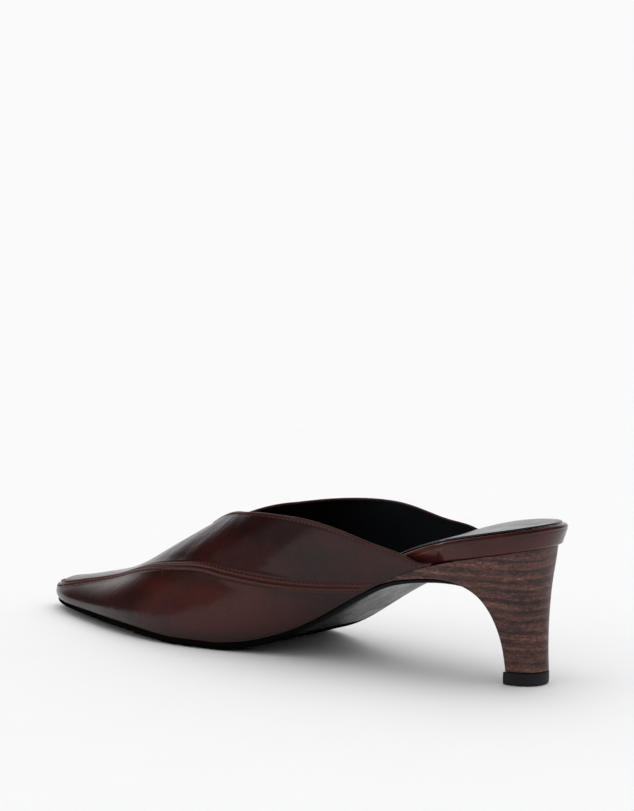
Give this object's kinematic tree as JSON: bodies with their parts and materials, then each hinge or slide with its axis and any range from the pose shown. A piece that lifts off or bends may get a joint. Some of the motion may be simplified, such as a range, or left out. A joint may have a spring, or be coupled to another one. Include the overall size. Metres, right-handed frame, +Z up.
{
  "type": "heeled mule",
  "caption": "Pointed-toe heeled mule with an open back: a seamed leather upper, thin sole with a breast flap and a curved stacked-look heel.",
  "frame": {"origin": "on the floor under the middle of the shoe's length and width", "axes": "+X to the toe, +Y to the wearer's left, which is the outer side, +Z up"},
  "size_m": [0.2489, 0.0735, 0.0609],
  "materials": {
    "upper": "glossy",
    "footbed": "glossy",
    "sock": "satin",
    "outsole": "satin",
    "heel": "satin",
    "heel_tip": "matte"
  },
  "bodies": {
    "root": {"upper": "upper", "footbed": "footbed", "sock": "sock", "outsole": "outsole", "heel": "heel", "heel_tip": "heel_tip"}
  },
  "joints": []
}
